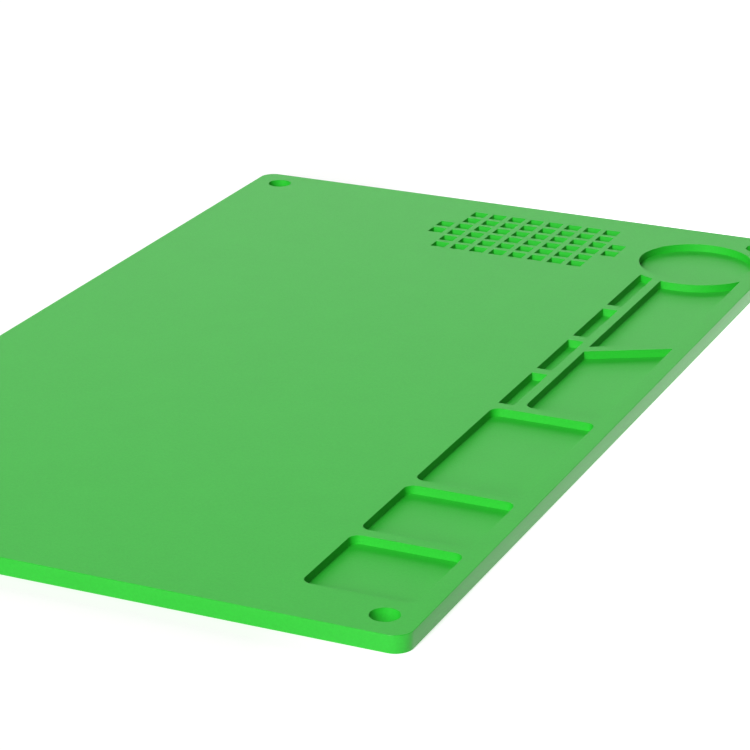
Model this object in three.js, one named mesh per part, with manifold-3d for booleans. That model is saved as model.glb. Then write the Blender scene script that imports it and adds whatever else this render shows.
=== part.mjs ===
// Parts sorting mat: one flat silicone moulding with a column of shallow pockets along its right side,
// a round dish near the far right corner and a field of small square cells beside the dish.
// Millimetres. X runs across the mat, Y along it towards the dish end, Z up. The underside is Z = 0 and
// the origin lies under the middle. Each mesh is one stretch of the moulding: the mat bends at the lines
// between the stretches.

import * as THREE from 'three';
import { mergeVertices } from 'three/addons/utils/BufferGeometryUtils.js';
import Module from 'manifold-3d';

const wasm = await Module();
wasm.setup();

// The moulding. Plan positions are measured from its near left corner: u across, v along.
const WIDTH = 200;
const LENGTH = 329.3;
const THICKNESS = 5;
const CORNER_RADIUS = 5;
const HOLE_DIAMETER = 8;
const HOLE_INSET = 10;

// All recesses are equally deep, with upright walls and a flat floor.
const RECESS_DEPTH = 2.5;
const FLOOR = THICKNESS - RECESS_DEPTH;
const RIB = 4;

// Pocket column: two square pockets, then a long one, counted from the near edge.
const COLUMN_LEFT = 162.6;
const COLUMN_WIDTH = 32;
const COLUMN_START = 18.7;
const POCKET_LENGTHS = [32, 32, 58];
const POCKET_RADIUS = 3;

// Behind the pockets the column divides into a row of narrow slots and two trays.
const SLOT_WIDTH = 5;
const SLOT_LENGTH = 27;
const SLOT_COUNT = 4;
const SLOT_TRAY_RIB = 3.1;
const TRAY_WIDTH = 24;
const NEAR_TRAY_LENGTH = 50;
const DIVIDER_ANGLE = THREE.MathUtils.degToRad(29.2);

// Dish, and the wall left between it and the slot and tray that end against it.
const DISH_U = 175.5;
const DISH_V = 297.1;
const DISH_RADIUS = 19;
const DISH_WALL = 4;

// Cell field: six rows of eight, and one cell more at each end of the two middle rows.
const CELL = 5;
const CELL_PITCH = 7;
const CELL_COLUMNS = 8;
const CELL_ROWS = 6;
const WIDE_ROWS = [2, 3];
const FIELD_LEFT = 87.6;
const FIELD_NEAR = 277.1;

// Bending lines across the mat, most of them in the ribs between pockets.
const BEND_LINES = [52.7, 88.7, 150.7, 181.7, 212.7, 243.7, 270];
const BEND_GAP = 0.3;

// Arc steps: a quarter turn of a corner, and half a turn of a circle.
const CORNER_STEPS = 4;
const CIRCLE_STEPS = 16;
const DISH_STEPS = 36;

// A prism on a plan outline, standing between two heights, as a solid.
function prism(outline, bottom, top, steps = CORNER_STEPS) {
  const block = new THREE.ExtrudeGeometry(outline, {
    depth: top - bottom,
    bevelEnabled: false,
    curveSegments: steps,
  });
  block.translate(-WIDTH / 2, -LENGTH / 2, bottom);
  block.deleteAttribute('normal');
  block.deleteAttribute('uv');
  const welded = mergeVertices(block);
  const mesh = new wasm.Mesh({
    numProp: 3,
    vertProperties: new Float32Array(welded.attributes.position.array),
    triVerts: new Uint32Array(welded.index.array),
  });
  return new wasm.Manifold(mesh);
}

// The part of the plan between two u and two v positions, through the whole thickness and more.
function stretch(u0, u1, v0, v1) {
  return prism(rectangle(u0, v0, u1, v1), -1, THICKNESS + 1);
}

function rectangle(u0, v0, u1, v1) {
  const outline = new THREE.Shape();
  outline.moveTo(u0, v0);
  outline.lineTo(u1, v0);
  outline.lineTo(u1, v1);
  outline.lineTo(u0, v1);
  return outline;
}

function roundedRectangle(u0, v0, u1, v1, r) {
  const outline = new THREE.Shape();
  outline.moveTo(u0 + r, v0);
  outline.absarc(u1 - r, v0 + r, r, -Math.PI / 2, 0);
  outline.absarc(u1 - r, v1 - r, r, 0, Math.PI / 2);
  outline.absarc(u0 + r, v1 - r, r, Math.PI / 2, Math.PI);
  outline.absarc(u0 + r, v0 + r, r, Math.PI, Math.PI * 1.5);
  return outline;
}

function circle(u, v, r) {
  const outline = new THREE.Shape();
  outline.absarc(u, v, r, 0, Math.PI * 2);
  return outline;
}

// Angle, seen from the dish centre, at which the near side of the dish wall passes position u.
function wallAngle(u) {
  return -Math.acos((u - DISH_U) / (DISH_RADIUS + DISH_WALL));
}

// Outline between two u positions from a straight near edge to the arc round the dish.
function upToDish(u0, v0, u1, v1) {
  const outline = new THREE.Shape();
  outline.moveTo(u0, v0);
  outline.lineTo(u1, v1);
  outline.absarc(DISH_U, DISH_V, DISH_RADIUS + DISH_WALL, wallAngle(u1), wallAngle(u0), true);
  return outline;
}

// Near tray: rounded corners in front, sharp ones where the slanting divider meets the sides.
function nearTray(u0, v0, u1, leftLength, slope, r) {
  const outline = new THREE.Shape();
  outline.moveTo(u0 + r, v0);
  outline.absarc(u1 - r, v0 + r, r, -Math.PI / 2, 0);
  outline.lineTo(u1, v0 + leftLength + slope * (u1 - u0));
  outline.lineTo(u0, v0 + leftLength);
  outline.absarc(u0 + r, v0 + r, r, Math.PI, Math.PI * 1.5);
  return outline;
}

// Plan outlines of everything recessed, with the arc steps each one takes.
const recesses = [];

let v = COLUMN_START;
for (const length of POCKET_LENGTHS) {
  const right = COLUMN_LEFT + COLUMN_WIDTH;
  recesses.push([roundedRectangle(COLUMN_LEFT, v, right, v + length, POCKET_RADIUS), CORNER_STEPS]);
  v += length + RIB;
}
const SLOTS_START = v;

for (let k = 0; k < SLOT_COUNT; k++) {
  const start = SLOTS_START + k * (SLOT_LENGTH + RIB);
  const right = COLUMN_LEFT + SLOT_WIDTH;
  const outline = k < SLOT_COUNT - 1
    ? rectangle(COLUMN_LEFT, start, right, start + SLOT_LENGTH)
    : upToDish(COLUMN_LEFT, start, right, start);
  recesses.push([outline, CORNER_STEPS]);
}

const TRAY_LEFT = COLUMN_LEFT + SLOT_WIDTH + SLOT_TRAY_RIB;
const TRAY_RIGHT = TRAY_LEFT + TRAY_WIDTH;
const SLOPE = Math.tan(DIVIDER_ANGLE);
const FAR_TRAY_START = SLOTS_START + NEAR_TRAY_LENGTH + RIB / Math.cos(DIVIDER_ANGLE);
recesses.push([
  nearTray(TRAY_LEFT, SLOTS_START, TRAY_RIGHT, NEAR_TRAY_LENGTH, SLOPE, POCKET_RADIUS),
  CORNER_STEPS,
]);
recesses.push([
  upToDish(TRAY_LEFT, FAR_TRAY_START, TRAY_RIGHT, FAR_TRAY_START + SLOPE * TRAY_WIDTH),
  CIRCLE_STEPS,
]);
recesses.push([circle(DISH_U, DISH_V, DISH_RADIUS), DISH_STEPS]);

for (let row = 0; row < CELL_ROWS; row++) {
  const extra = WIDE_ROWS.includes(row) ? 1 : 0;
  for (let column = -extra; column < CELL_COLUMNS + extra; column++) {
    const u0 = FIELD_LEFT + column * CELL_PITCH;
    const v0 = FIELD_NEAR + row * CELL_PITCH;
    recesses.push([rectangle(u0, v0, u0 + CELL, v0 + CELL), CORNER_STEPS]);
  }
}

// The whole moulding: a round-cornered slab, its recesses, and a through hole in each corner.
let mat = prism(roundedRectangle(0, 0, WIDTH, LENGTH, CORNER_RADIUS), 0, THICKNESS);
for (const [outline, steps] of recesses) {
  mat = mat.subtract(prism(outline, FLOOR, THICKNESS + 1, steps));
}
for (const u of [HOLE_INSET, WIDTH - HOLE_INSET]) {
  for (const vHole of [HOLE_INSET, LENGTH - HOLE_INSET]) {
    const outline = circle(u, vHole, HOLE_DIAMETER / 2);
    mat = mat.subtract(prism(outline, -1, THICKNESS + 1, CIRCLE_STEPS));
  }
}

const group = new THREE.Group();
group.name = 'parts_sorting_mat';

function addPiece(name, solid) {
  const cut = solid.getMesh();
  const indexed = new THREE.BufferGeometry();
  indexed.setAttribute('position', new THREE.BufferAttribute(new Float32Array(cut.vertProperties), 3));
  indexed.setIndex(new THREE.BufferAttribute(new Uint32Array(cut.triVerts), 1));
  const geometry = indexed.toNonIndexed();
  geometry.computeVertexNormals();
  const silicone = new THREE.MeshStandardMaterial({ color: 0x55bf57, roughness: 0.7, metalness: 0 });
  const piece = new THREE.Mesh(geometry, silicone);
  piece.name = name;
  group.add(piece);
}

// Stretches that reach right across the mat, from the near edge to the last bending line.
const STRIP_NAMES = [
  'front_pocket_strip',
  'second_pocket_strip',
  'long_pocket_strip',
  'slot_strip_1',
  'slot_strip_2',
  'slot_strip_3',
  'slot_strip_4',
];
STRIP_NAMES.forEach((name, k) => {
  const near = k === 0 ? -1 : BEND_LINES[k - 1] + BEND_GAP / 2;
  const far = BEND_LINES[k] - BEND_GAP / 2;
  addPiece(name, mat.intersect(stretch(-1, WIDTH + 1, near, far)));
});

// The stretch behind the last bending line stays flat. It is made of the plain block on its left, the
// band in front of the cells, the rows of cells (each with the rib behind it), and the dish's block.
const FAR_START = BEND_LINES[BEND_LINES.length - 1] + BEND_GAP / 2;
const FIELD_RIB = CELL_PITCH - CELL;
const ROWS_LEFT = FIELD_LEFT - CELL_PITCH - FIELD_RIB;
const ROWS_RIGHT = FIELD_LEFT + (CELL_COLUMNS + 1) * CELL_PITCH;
addPiece('far_plain_block', mat.intersect(stretch(-1, ROWS_LEFT, FAR_START, LENGTH + 1)));
addPiece('cell_field_front', mat.intersect(stretch(ROWS_LEFT, ROWS_RIGHT, FAR_START, FIELD_NEAR)));
for (let row = 0; row < CELL_ROWS; row++) {
  const near = FIELD_NEAR + row * CELL_PITCH;
  const far = row === CELL_ROWS - 1 ? LENGTH + 1 : near + CELL_PITCH;
  addPiece(`cell_row_${row + 1}`, mat.intersect(stretch(ROWS_LEFT, ROWS_RIGHT, near, far)));
}
addPiece('dish_block', mat.intersect(stretch(ROWS_RIGHT, WIDTH + 1, FAR_START, LENGTH + 1)));

export default group;
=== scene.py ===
import bpy
import bmesh
import math
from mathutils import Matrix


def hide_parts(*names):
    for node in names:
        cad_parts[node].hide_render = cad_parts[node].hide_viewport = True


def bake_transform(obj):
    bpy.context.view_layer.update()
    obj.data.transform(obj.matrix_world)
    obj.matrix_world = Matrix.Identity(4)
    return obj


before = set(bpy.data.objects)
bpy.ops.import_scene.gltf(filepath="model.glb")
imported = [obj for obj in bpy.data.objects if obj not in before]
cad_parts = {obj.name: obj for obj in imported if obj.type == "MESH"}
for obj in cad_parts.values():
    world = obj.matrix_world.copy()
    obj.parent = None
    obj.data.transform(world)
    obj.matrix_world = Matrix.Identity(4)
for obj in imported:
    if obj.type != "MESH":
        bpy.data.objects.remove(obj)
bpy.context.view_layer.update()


# ---------------------------------------------------------------------------------------------
# The slab. One flat piece of silicone, pressed in a flat steel mould, so that it has upright sides,
# rounded corners and only a small natural radius along its top and bottom edges. Plan sizes are in
# mm: u from the left edge, v from the near edge.

MM = 0.001
WIDTH = 200.0
LENGTH = 329.3
THICKNESS = 5.0
CORNER_RADIUS = 5.0
EDGE_RADIUS = 0.15


def arc(u, v, r, start, end, steps):
    """Points along an arc round (u, v), in mm on the plan, between two angles in degrees."""
    turns = [math.radians(start + (end - start) * k / steps) for k in range(steps + 1)]
    return [(u + r * math.cos(a), v + r * math.sin(a)) for a in turns]


def round_cornered(u0, v0, u1, v1, r, steps=10):
    """Plan outline of a rectangle with rounded corners, anticlockwise."""
    return (arc(u1 - r, v0 + r, r, -90, 0, steps) + arc(u1 - r, v1 - r, r, 0, 90, steps)
            + arc(u0 + r, v1 - r, r, 90, 180, steps) + arc(u0 + r, v0 + r, r, 180, 270, steps))


def grown(outline, by):
    """The outline moved outward by so many mm, each corner along its mitre."""
    moved = []
    for k, (u, v) in enumerate(outline):
        last_u, last_v = outline[k - 1]
        next_u, next_v = outline[(k + 1) % len(outline)]
        before = math.hypot(u - last_u, v - last_v)
        after = math.hypot(next_u - u, next_v - v)
        # The outward directions of the sides before and after this corner.
        side_u, side_v = (v - last_v) / before, (last_u - u) / before
        turn_u, turn_v = (next_v - v) / after, (u - next_u) / after
        share = by / (1 + side_u * turn_u + side_v * turn_v)
        moved.append((u + (side_u + turn_u) * share, v + (side_v + turn_v) * share))
    return moved


NO_GROWTH = 1e-9


def stack(mesh, outline, profile):
    """Adds a closed solid: the outline, grown by each profile step's first number, at its height."""
    rings = []
    for by, z in profile:
        ring = grown(outline, by) if abs(by) > NO_GROWTH else outline
        rings.append([mesh.verts.new(((u - WIDTH / 2) * MM, (v - LENGTH / 2) * MM, z * MM))
                      for u, v in ring])
    for low, high in zip(rings, rings[1:]):
        for k in range(len(low)):
            mesh.faces.new((low[k - 1], low[k], high[k], high[k - 1]))
    mesh.faces.new(list(reversed(rings[0])))
    mesh.faces.new(rings[-1])


def rounded_edge(radius, z, start, end, grow, steps=3):
    """Profile steps along a small edge radius: grow and height, between two angles in degrees."""
    turns = [math.radians(start + (end - start) * k / steps) for k in range(steps + 1)]
    return [(grow + radius * math.cos(a), z + radius * math.sin(a)) for a in turns]


def as_object(mesh, name):
    """Turns the built mesh into a named object in the scene."""
    data = bpy.data.meshes.new(name)
    mesh.to_mesh(data)
    mesh.free()
    piece = bpy.data.objects.new(name, data)
    bpy.context.collection.objects.link(piece)
    return piece


slab_mesh = bmesh.new()
stack(slab_mesh, round_cornered(0, 0, WIDTH, LENGTH, CORNER_RADIUS),
      rounded_edge(EDGE_RADIUS, EDGE_RADIUS, -90, 0, -EDGE_RADIUS)
      + rounded_edge(EDGE_RADIUS, THICKNESS - EDGE_RADIUS, 0, 90, -EDGE_RADIUS))
slab = as_object(slab_mesh, "pressed_slab")


# ---------------------------------------------------------------------------------------------
# The pocket column. Two square pockets and a long one down the right side, pressed into the slab
# by blocks on the mould's lid: flat floors, upright walls, corners of 3 mm.

RECESS_DEPTH = 2.5
FLOOR = THICKNESS - RECESS_DEPTH
RIM = 0.06
FOOT = 0.06
CLEAR = 1.0
RIB = 4.0
POCKET_RADIUS = 3.0
COLUMN_LEFT = 162.6
COLUMN_RIGHT = 194.6
COLUMN_START = 18.7
POCKET_LENGTHS = [32.0, 32.0, 58.0]

# Every recess has the same section: a small radius at the foot of its wall and one at its rim.
# The blocks that press them stand a little clear of the slab's faces.
QUARTER_TURN = [math.radians(a) for a in (0, 30, 60, 90)]
TOP_RIM = ([(RIM - RIM * math.cos(a), THICKNESS - RIM + RIM * math.sin(a)) for a in QUARTER_TURN]
           + [(RIM, THICKNESS + CLEAR)])
RECESS_SECTION = ([(-FOOT + FOOT * math.sin(a), FLOOR + FOOT - FOOT * math.cos(a))
                   for a in QUARTER_TURN] + TOP_RIM)

hollows_mesh = bmesh.new()
near = COLUMN_START
for pocket_length in POCKET_LENGTHS:
    pocket = round_cornered(COLUMN_LEFT, near, COLUMN_RIGHT, near + pocket_length, POCKET_RADIUS)
    stack(hollows_mesh, pocket, RECESS_SECTION)
    near += pocket_length + RIB


# ---------------------------------------------------------------------------------------------
# Dish, slots and trays. A round dish fills the far right corner. The last slot and the far tray
# stop 4 mm short of it, on an arc round the dish's own centre. All are pressed by the mould's lid.

DISH_U = 175.5
DISH_V = 297.1
DISH_RADIUS = 19.0
WALL_RADIUS = DISH_RADIUS + RIB
SLOT_RIGHT = 167.6
SLOTS_START = near
SLOT_LENGTH = 27.0
SLOT_PITCH = SLOT_LENGTH + RIB
WHOLE_SLOTS = 3
SLOT_RADIUS = 0.2
TRAY_LEFT = 170.7
TRAY_RIGHT = 194.7
NEAR_TRAY_LENGTH = 50.0
SLANT = math.tan(math.radians(29.2))


def along_dish(left, right, steps):
    """The arc 4 mm outside the dish's rim, on its near side, from right to left."""
    first = -math.degrees(math.acos((right - DISH_U) / WALL_RADIUS))
    last = -math.degrees(math.acos((left - DISH_U) / WALL_RADIUS))
    return arc(DISH_U, DISH_V, WALL_RADIUS, first, last, steps)


stack(hollows_mesh, arc(DISH_U, DISH_V, DISH_RADIUS, 0, 360, 144)[:-1], RECESS_SECTION)
for k in range(WHOLE_SLOTS):
    slot_near = SLOTS_START + k * SLOT_PITCH
    slot = round_cornered(COLUMN_LEFT, slot_near, SLOT_RIGHT, slot_near + SLOT_LENGTH, SLOT_RADIUS, 3)
    stack(hollows_mesh, slot, RECESS_SECTION)
last_near = SLOTS_START + WHOLE_SLOTS * SLOT_PITCH
stack(hollows_mesh, [(COLUMN_LEFT, last_near), (SLOT_RIGHT, last_near)]
      + along_dish(COLUMN_LEFT, SLOT_RIGHT, 12), RECESS_SECTION)

divider_left = SLOTS_START + NEAR_TRAY_LENGTH
divider_right = divider_left + SLANT * (TRAY_RIGHT - TRAY_LEFT)
corner_v = SLOTS_START + POCKET_RADIUS
stack(hollows_mesh, arc(TRAY_RIGHT - POCKET_RADIUS, corner_v, POCKET_RADIUS, -90, 0, 10)
      + [(TRAY_RIGHT, divider_right), (TRAY_LEFT, divider_left)]
      + arc(TRAY_LEFT + POCKET_RADIUS, corner_v, POCKET_RADIUS, 180, 270, 10), RECESS_SECTION)
rise = RIB * math.hypot(1, SLANT)
stack(hollows_mesh, [(TRAY_LEFT, divider_left + rise), (TRAY_RIGHT, divider_right + rise)]
      + along_dish(TRAY_LEFT, TRAY_RIGHT, 40), RECESS_SECTION)


# ---------------------------------------------------------------------------------------------
# The cell field. Six rows of eight square cells, with one cell more at each end of the two middle
# rows. Each cell is 5 mm square, with a 2 mm rib all round, pressed by pins on the mould's lid.

CELL = 5.0
CELL_PITCH = 7.0
CELL_RADIUS = 0.2
CELL_ROWS = 6
CELL_COLUMNS = 8
MIDDLE_ROWS = (2, 3)
FIELD_LEFT = 87.6
FIELD_NEAR = 277.1

for row in range(CELL_ROWS):
    extra = 1 if row in MIDDLE_ROWS else 0
    for column in range(-extra, CELL_COLUMNS + extra):
        u = FIELD_LEFT + CELL_PITCH * column
        v = FIELD_NEAR + CELL_PITCH * row
        stack(hollows_mesh, round_cornered(u, v, u + CELL, v + CELL, CELL_RADIUS, 3), RECESS_SECTION)


# ---------------------------------------------------------------------------------------------
# Corner holes. A plain 8 mm hole goes right through at each corner, 10 mm in from both edges, to
# hang the mat on pegs. Its rims are slightly rounded on both faces.

HOLE_RADIUS = 4.0
HOLE_INSET = 10.0
BOTTOM_RIM = [(RIM - RIM * math.sin(a), RIM - RIM * math.cos(a)) for a in QUARTER_TURN]
HOLE_SECTION = [(RIM, -CLEAR)] + BOTTOM_RIM + TOP_RIM

for u in (HOLE_INSET, WIDTH - HOLE_INSET):
    for v in (HOLE_INSET, LENGTH - HOLE_INSET):
        stack(hollows_mesh, arc(u, v, HOLE_RADIUS, 0, 360, 64)[:-1], HOLE_SECTION)
hollows = as_object(hollows_mesh, "mould_blocks")

WELD = 1e-7
cut = slab.modifiers.new("press", "BOOLEAN")
cut.operation = "DIFFERENCE"
cut.object = hollows
cut.solver = "EXACT"
pressed = slab.evaluated_get(bpy.context.evaluated_depsgraph_get())
moulding = bmesh.new()
moulding.from_mesh(pressed.to_mesh())
bmesh.ops.remove_doubles(moulding, verts=moulding.verts, dist=WELD)
for spare in (slab, hollows):
    bpy.data.objects.remove(spare)


# ---------------------------------------------------------------------------------------------
# The silicone. Platinum-cured rubber in one opaque grass green, matt from a blasted mould: a pale
# haze at low angles and no clear reflections. The blasted grain, really about 0.1 mm, is drawn at
# 0.6 mm so that it shows.

CLOUD_SIZE = 14.0
GRAIN_SIZE = 0.6
GRAIN_DEPTH = 0.04


def linear(hex_colour):
    """sRGB hex to the linear colour that the shader takes."""
    parts = [int(hex_colour[k:k + 2], 16) / 255 for k in (1, 3, 5)]
    return [p / 12.92 if p <= 0.04045 else ((p + 0.055) / 1.055) ** 2.4 for p in parts] + [1.0]


def node(tree, kind, settings, links):
    """Adds a node: settings name its properties or inputs, links name its inputs' sources."""
    made = tree.nodes.new(kind)
    for name, value in settings.items():
        if isinstance(name, str) and hasattr(made, name):
            setattr(made, name, value)
        else:
            made.inputs[name].default_value = value
    for name, source in links.items():
        tree.links.new(source, made.inputs[name])
    return made


def rubber(name, darker, lighter, finish, relief):
    """Silicone that clouds softly between two greens; relief is the grain's strength, 0 to 1."""
    made = bpy.data.materials.new(name)
    made.use_nodes = True
    tree = made.node_tree
    tree.nodes.clear()
    place = node(tree, "ShaderNodeTexCoord", {}, {})
    clouding = node(tree, "ShaderNodeTexNoise", {"Scale": 1 / (CLOUD_SIZE * MM), "Detail": 3.0},
                    {"Vector": place.outputs["Object"]})
    grain = node(tree, "ShaderNodeTexNoise",
                 {"Scale": 1 / (GRAIN_SIZE * MM), "Detail": 3.0, "Roughness": 0.6},
                 {"Vector": place.outputs["Object"]})
    mixed = node(tree, "ShaderNodeMath", {"operation": "MULTIPLY_ADD", 1: 0.35},
                 {0: clouding.outputs["Fac"], 2: grain.outputs["Fac"]})
    green = node(tree, "ShaderNodeValToRGB", {}, {"Fac": mixed.outputs["Value"]})
    green.color_ramp.elements[0].position = 0.45
    green.color_ramp.elements[0].color = linear(darker)
    green.color_ramp.elements[1].position = 0.90
    green.color_ramp.elements[1].color = linear(lighter)
    bump = node(tree, "ShaderNodeBump", {"Strength": relief, "Distance": GRAIN_DEPTH * MM},
                {"Height": grain.outputs["Fac"]})
    surface = node(tree, "ShaderNodeBsdfPrincipled", finish,
                   {"Base Color": green.outputs["Color"], "Normal": bump.outputs["Normal"]})
    node(tree, "ShaderNodeOutputMaterial", {}, {"Surface": surface.outputs["BSDF"]})
    return made


silicone = rubber("matt moulded silicone", "#20B327", "#24BB2B",
                  {"Roughness": 0.6, "IOR": 1.41, "Specular IOR Level": 0.35,
                   "Sheen Weight": 0.08, "Sheen Roughness": 0.3}, 0.9)
# The mat's outer sides form against the mould's polished frame: they are smoother, and show a soft
# grey reflection of the bench where they are seen at a low angle. Their deeper green than the top is
# painted shade, which holds down the light that the bright bench throws back onto them.
smooth_shaded_silicone = rubber("smooth moulded silicone with painted shade", "#1CA523", "#20AD28",
                         {"Roughness": 0.28, "IOR": 1.41}, 0.2)


# ---------------------------------------------------------------------------------------------
# The mat in stretches. It is one soft piece that curls up from both ends. It is built in seven
# lengths that meet face to face at the middles of the stiff stretches; each is cut into thin slices
# about its one bending line.

# Six bending lines run across the mat along the middles of the ribs between the recesses, and the
# last one runs just in front of the dish and the cells.
BENDS = [52.7, 88.7, 150.7, 181.7, 212.7, 243.7, 270.0]
STRIPS = ["front_pocket_strip", "second_pocket_strip", "long_pocket_strip",
          "slot_strip_1", "slot_strip_2", "slot_strip_3", "slot_strip_4"]
FAR_BLOCKS = (["far_plain_block", "cell_field_front"]
              + ["cell_row_%d" % (row + 1) for row in range(CELL_ROWS)] + ["dish_block"])

# Each length is cut into slices of 1 mm for 6 mm on either side of its bending line.
CURL = 6.0
SLICE = 1.0

# The outer sides are the upright faces within 2 mm of the mat's edge.
RIM_BAND = 2.0
UPRIGHT = 0.4
LEVEL = 0.999
MATT, SMOOTH_SHADED = 0, 1
SHARP_ANGLE = math.radians(35)
CUT_DISTANCE = 1e-8


def plan_cut(mesh, v, drop=None):
    """Cuts the mesh across the mat at v mm, and drops what lies nearer or farther if asked."""
    bmesh.ops.bisect_plane(
        mesh, geom=mesh.verts[:] + mesh.edges[:] + mesh.faces[:], dist=CUT_DISTANCE,
        plane_co=(0, (v - LENGTH / 2) * MM, 0), plane_no=(0, 1, 0),
        clear_inner=drop == "nearer", clear_outer=drop == "farther")


meetings = [(a + b) / 2 for a, b in zip(BENDS, BENDS[1:])]
slices = int(CURL * 2 / SLICE)
for k, bend in enumerate(BENDS):
    length = moulding.copy()
    if k > 0:
        plan_cut(length, meetings[k - 1], "nearer")
    if k < len(meetings):
        plan_cut(length, meetings[k], "farther")
    for n in range(slices + 1):
        plan_cut(length, bend - CURL + n * SLICE)
    rims = [e for e in length.edges if e.is_boundary]
    bmesh.ops.holes_fill(length, edges=rims, sides=0)
    piece = as_object(length, "silicone_" + STRIPS[k])
    piece.data.materials.append(silicone)
    piece.data.materials.append(smooth_shaded_silicone)
    piece.data.set_sharp_from_angle(angle=SHARP_ANGLE)
    for face in piece.data.polygons:
        tilt = abs(face.normal.z)
        to_edge = min(WIDTH / 2 * MM - abs(face.center.x), LENGTH / 2 * MM - abs(face.center.y))
        face.use_smooth = tilt < LEVEL
        # The outer sides get the smooth silicone, whose deeper green is painted shade.
        face.material_index = SMOOTH_SHADED if to_edge < RIM_BAND * MM and tilt < UPRIGHT else MATT
    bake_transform(piece)
    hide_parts(STRIPS[k], *(FAR_BLOCKS if k == len(BENDS) - 1 else ()))
moulding.free()


# ---------------------------------------------------------------------------------------------
# The bench. A plain board, painted matt white, which the mat lies loose on. It isn't part of the
# object. The board also glows, as painted light: a little everywhere, so that it stays evenly pale,
# more far off, and most to the right of the mat, where the glow lights the mat's right side.

BENCH_REACH = 4.0
BENCH_GAP = 0.1

bench_mesh = bmesh.new()
bmesh.ops.create_grid(bench_mesh, x_segments=1, y_segments=1, size=BENCH_REACH)
bench = as_object(bench_mesh, "bench")
bench.location.z = -BENCH_GAP * MM
glowing_board = bpy.data.materials.new("white board with painted glow")
glowing_board.use_nodes = True
gloss_free = glowing_board.node_tree.nodes["Principled BSDF"]
gloss_free.inputs["Base Color"].default_value = linear("#CCCCCA")
gloss_free.inputs["Roughness"].default_value = 0.9
gloss_free.inputs["Emission Color"].default_value = linear("#FFFFFF")
spot = node(glowing_board.node_tree, "ShaderNodeTexCoord", {}, {})
# Painted light: the board's glow rises towards the right of the mat and lights the mat's right side.
far_right = node(glowing_board.node_tree, "ShaderNodeVectorMath",
                 {"operation": "DOT_PRODUCT", 1: (1, 0.35, 0)}, {0: spot.outputs["Object"]})
glow = node(glowing_board.node_tree, "ShaderNodeMapRange",
            {"From Min": 0.0, "From Max": 0.14, "To Min": 0.46, "To Max": 1.1},
            {"Value": far_right.outputs["Value"]})
from_mat = node(glowing_board.node_tree, "ShaderNodeVectorMath", {"operation": "LENGTH"},
                {0: spot.outputs["Object"]})
far_off = node(glowing_board.node_tree, "ShaderNodeMapRange",
               {"From Min": 0.8, "From Max": 2.5, "To Min": 0.0, "To Max": 0.7},
               {"Value": from_mat.outputs["Value"]})
both = node(glowing_board.node_tree, "ShaderNodeMath", {"operation": "ADD"},
            {0: glow.outputs["Result"], 1: far_off.outputs["Result"]})
glowing_board.node_tree.links.new(both.outputs["Value"], gloss_free.inputs["Emission Strength"])
bench.data.materials.append(glowing_board)


# ---------------------------------------------------------------------------------------------
# The lights. Three soft panels: a bright upright one in front, a faint one on the left overhead and
# a wide low one behind, whose glancing light gives the matt top its pale haze.

def softbox(name, azimuth, elevation, distance, width, height, watts):
    """A soft light panel aimed at the middle of the mat. Azimuth 0 is in front of it."""
    lamp = bpy.data.lights.new(name, "AREA")
    lamp.shape = "RECTANGLE"
    lamp.size = width
    lamp.size_y = height
    lamp.energy = watts
    holder = bpy.data.objects.new(name, lamp)
    a, e = math.radians(azimuth), math.radians(elevation)
    holder.location = (distance * math.cos(e) * math.sin(a), -distance * math.cos(e) * math.cos(a),
                       distance * math.sin(e))
    holder.rotation_euler = (math.pi / 2 - e, 0, a)
    bpy.context.collection.objects.link(holder)


softbox("front_softbox", -2, 29, 4.0, 1.1, 2.9, 206)
softbox("overhead_panel", -90, 65, 3.0, 2.0, 2.0, 10)
softbox("back_panel", -156, 22, 3.0, 3.6, 1.6, 54)

# The studio round it is seen as white, and lights the mat only faintly.
world = bpy.data.worlds.new("soft studio")
bpy.context.scene.world = world
world.use_nodes = True
world.node_tree.nodes["Background"].inputs["Color"].default_value = linear("#FFFFFF")
seen = node(world.node_tree, "ShaderNodeLightPath", {}, {})
paleness = node(world.node_tree, "ShaderNodeMath",
                {"operation": "MULTIPLY_ADD", 1: 0.94, 2: 0.06}, {0: seen.outputs["Is Camera Ray"]})
world.node_tree.links.new(paleness.outputs["Value"],
                          world.node_tree.nodes["Background"].inputs["Strength"])
bpy.context.scene.view_settings.view_transform = "Standard"


# ---------------------------------------------------------------------------------------------
# The camera. A long lens on a stand, above the front right of the mat.

LENS_MM = 137.8
SENSOR_MM = 36
AIM = (0.02064, -0.0068, 0.00517)
AZIMUTH, ELEVATION, DISTANCE = math.radians(24.27), math.radians(21.20), 0.8612
camera = bpy.data.objects.new("camera", bpy.data.cameras.new("camera"))
camera.data.lens = LENS_MM
camera.data.sensor_width = SENSOR_MM
camera.location = (AIM[0] + DISTANCE * math.cos(ELEVATION) * math.sin(AZIMUTH),
                   AIM[1] - DISTANCE * math.cos(ELEVATION) * math.cos(AZIMUTH),
                   AIM[2] + DISTANCE * math.sin(ELEVATION))
camera.rotation_euler = (math.pi / 2 - ELEVATION, 0, AZIMUTH)
bpy.context.collection.objects.link(camera)
bpy.context.scene.camera = camera
